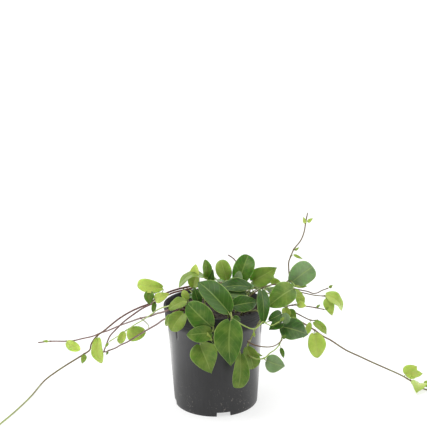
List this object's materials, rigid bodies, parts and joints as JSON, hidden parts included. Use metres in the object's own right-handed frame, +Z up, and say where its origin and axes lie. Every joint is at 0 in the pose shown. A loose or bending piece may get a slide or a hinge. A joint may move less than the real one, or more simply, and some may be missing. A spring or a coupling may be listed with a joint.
{
  "type": "potted greater periwinkle",
  "caption": "Young greater periwinkle in a round black nursery pot, with leafy shoots over the rim and long trailing stems to both sides.",
  "frame": {"origin": "On the pot's axis, at the level of the surface that the pot stands on.", "axes": "+X to the right, towards the long right-hand stem, +Y to the back, +Z up. The front with the hanging leaves faces -Y."},
  "size_m": [0.6839, 0.2977, 0.2943],
  "materials": {
    "pot": "satin black, with soil dust near the bottom",
    "soil": "dark damp peat with pale dry bits",
    "leaf": "smooth and slightly glossy green, paler when young",
    "stem": "thin smooth bark, green when young and red-brown when old"
  },
  "bodies": {
    "root": {"pot": "pot", "soil": "soil", "stem_trail_left_a": "leaf", "stem_trail_left_b": "leaf", "stem_trail_left_c": "leaf", "stem_trail_left_d": "leaf", "stem_trail_left_e": "leaf", "stem_left_low": "leaf", "stem_front_left": "leaf", "stem_front_centre": "leaf", "stem_front_right": "leaf", "stem_right_long": "leaf", "stem_right_upright": "leaf", "stem_top_left": "leaf", "stem_top_centre": "leaf", "stem_top_right": "leaf", "stem_middle": "leaf", "stem_back_1": "leaf", "stem_back_2": "leaf", "stem_back_3": "leaf", "stem_back_4": "leaf", "stem_back_5": "leaf"}
  },
  "joints": []
}
